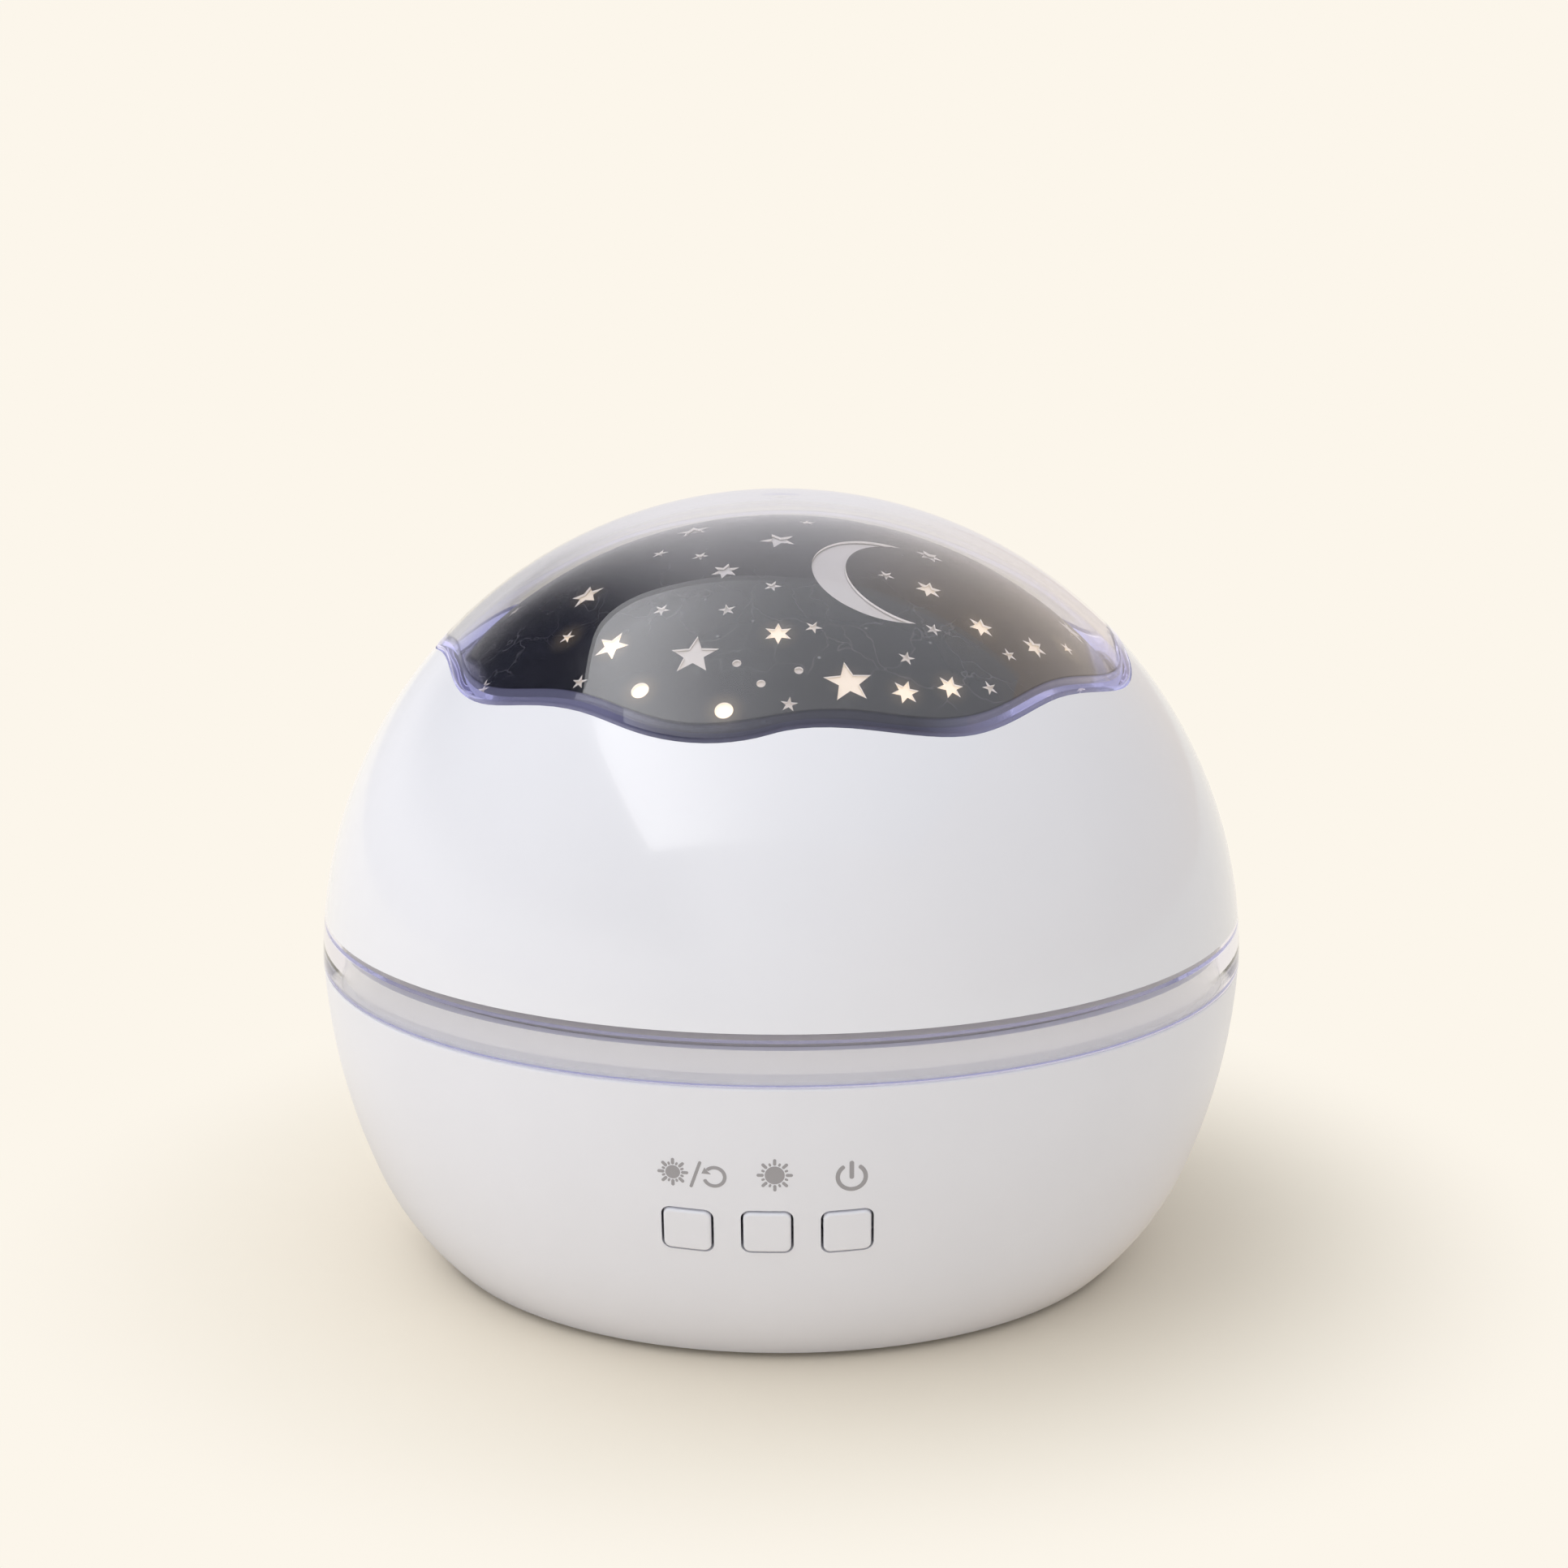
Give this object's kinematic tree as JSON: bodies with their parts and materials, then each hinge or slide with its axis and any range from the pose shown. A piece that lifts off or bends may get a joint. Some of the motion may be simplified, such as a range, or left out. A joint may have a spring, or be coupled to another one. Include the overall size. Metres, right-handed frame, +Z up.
{
  "type": "star night light projector",
  "caption": "Round night light with a lifting clear dome, a geared turning star film, a lamp on a post and push buttons.",
  "frame": {"origin": "centre of the surface it stands on, under its feet", "axes": "+Z up, -Y the front with the buttons, +X the viewer's right when facing the buttons"},
  "size_m": [0.13, 0.13, 0.1079],
  "materials": {
    "base_plastic": "satin",
    "cover_plastic": "high gloss",
    "clear_plastic": "clear, polished",
    "frosted_plastic": "frosted, translucent",
    "film_print": "dark print",
    "inner_plastic": "satin",
    "bottom_plastic": "fine texture",
    "foot_rubber": "matt",
    "screw_steel": "plated",
    "motor_steel": "plated",
    "gear_plastic": "natural",
    "lamp_board_white": "solder mask",
    "emitter": "silicone",
    "board_green": "solder mask",
    "socket_steel": "plated",
    "black_plastic": "moulded",
    "stem_plastic": "moulded",
    "capacitor_sleeve": "sleeve",
    "wire_red": "insulation",
    "wire_black": "insulation"
  },
  "bodies": {
    "base": {"bowl": "base_plastic", "bottom_plate": "bottom_plastic", "rubber_feet": "foot_rubber", "case_screws": "screw_steel", "deck": "inner_plastic", "gear_motor": "motor_steel", "motor_screws": "screw_steel", "lamp_holder": "inner_plastic", "lamp_board": "lamp_board_white", "lamp_screws": "screw_steel", "lamp_emitter": "emitter", "lamp_lens": "clear_plastic", "tact_switches": "black_plastic", "switch_board": "board_green", "switch_board_screws": "screw_steel", "main_board": "board_green", "main_board_screws": "screw_steel", "power_socket": "socket_steel", "socket_tongue": "black_plastic", "control_chip": "black_plastic", "driver_chip": "black_plastic", "capacitor": "capacitor_sleeve", "lamp_wires": "wire_black", "motor_wire_a": "wire_red", "motor_wire_b": "wire_black", "switch_wire_a": "wire_red", "switch_wire_b": "wire_black"},
    "cover": {"wave_cover": "cover_plastic", "clear_dome": "clear_plastic"},
    "turntable": {"turntable": "inner_plastic"},
    "star_dome": {"projection_dome": "frosted_plastic", "star_film": "film_print"},
    "pinion": {"pinion": "gear_plastic", "motor_shaft": "screw_steel"},
    "button_left": {"button_left": "base_plastic", "switch_stem_left": "stem_plastic"},
    "button_middle": {"button_middle": "base_plastic", "switch_stem_middle": "stem_plastic"},
    "button_right": {"button_right": "base_plastic", "switch_stem_right": "stem_plastic"}
  },
  "joints": [
    {"name": "cover_lift", "type": "slide", "parent": "base", "child": "cover", "axis": [0, 0, 1], "range_m": [0, 0.105]},
    {"name": "turntable_spin", "type": "hinge", "parent": "base", "child": "turntable", "pos_m": [0, 0, 0.0418], "axis": [0, 0, 1], "continuous": true},
    {"name": "dome_lift", "type": "slide", "parent": "turntable", "child": "star_dome", "axis": [0, 0, 1], "range_m": [0, 0.042]},
    {"name": "pinion_spin", "type": "hinge", "parent": "base", "child": "pinion", "pos_m": [-0.0312, 0, 0.0409], "axis": [0, 0, 1], "continuous": true},
    {"name": "button_left_press", "type": "slide", "parent": "base", "child": "button_left", "axis": [0, 0.9581, 0.2864], "range_m": [0, 0.0006], "stiffness_N_per_m": 1500},
    {"name": "button_middle_press", "type": "slide", "parent": "base", "child": "button_middle", "axis": [0, 0.9581, 0.2864], "range_m": [0, 0.0006], "stiffness_N_per_m": 1500},
    {"name": "button_right_press", "type": "slide", "parent": "base", "child": "button_right", "axis": [0, 0.9581, 0.2864], "range_m": [0, 0.0006], "stiffness_N_per_m": 1500}
  ],
  "couplings": [
    {"joint": "pinion_spin", "follows": "turntable_spin", "ratio": -3.3333},
    {"joint": "dome_lift", "follows": "cover_lift", "ratio": 0.4}
  ]
}
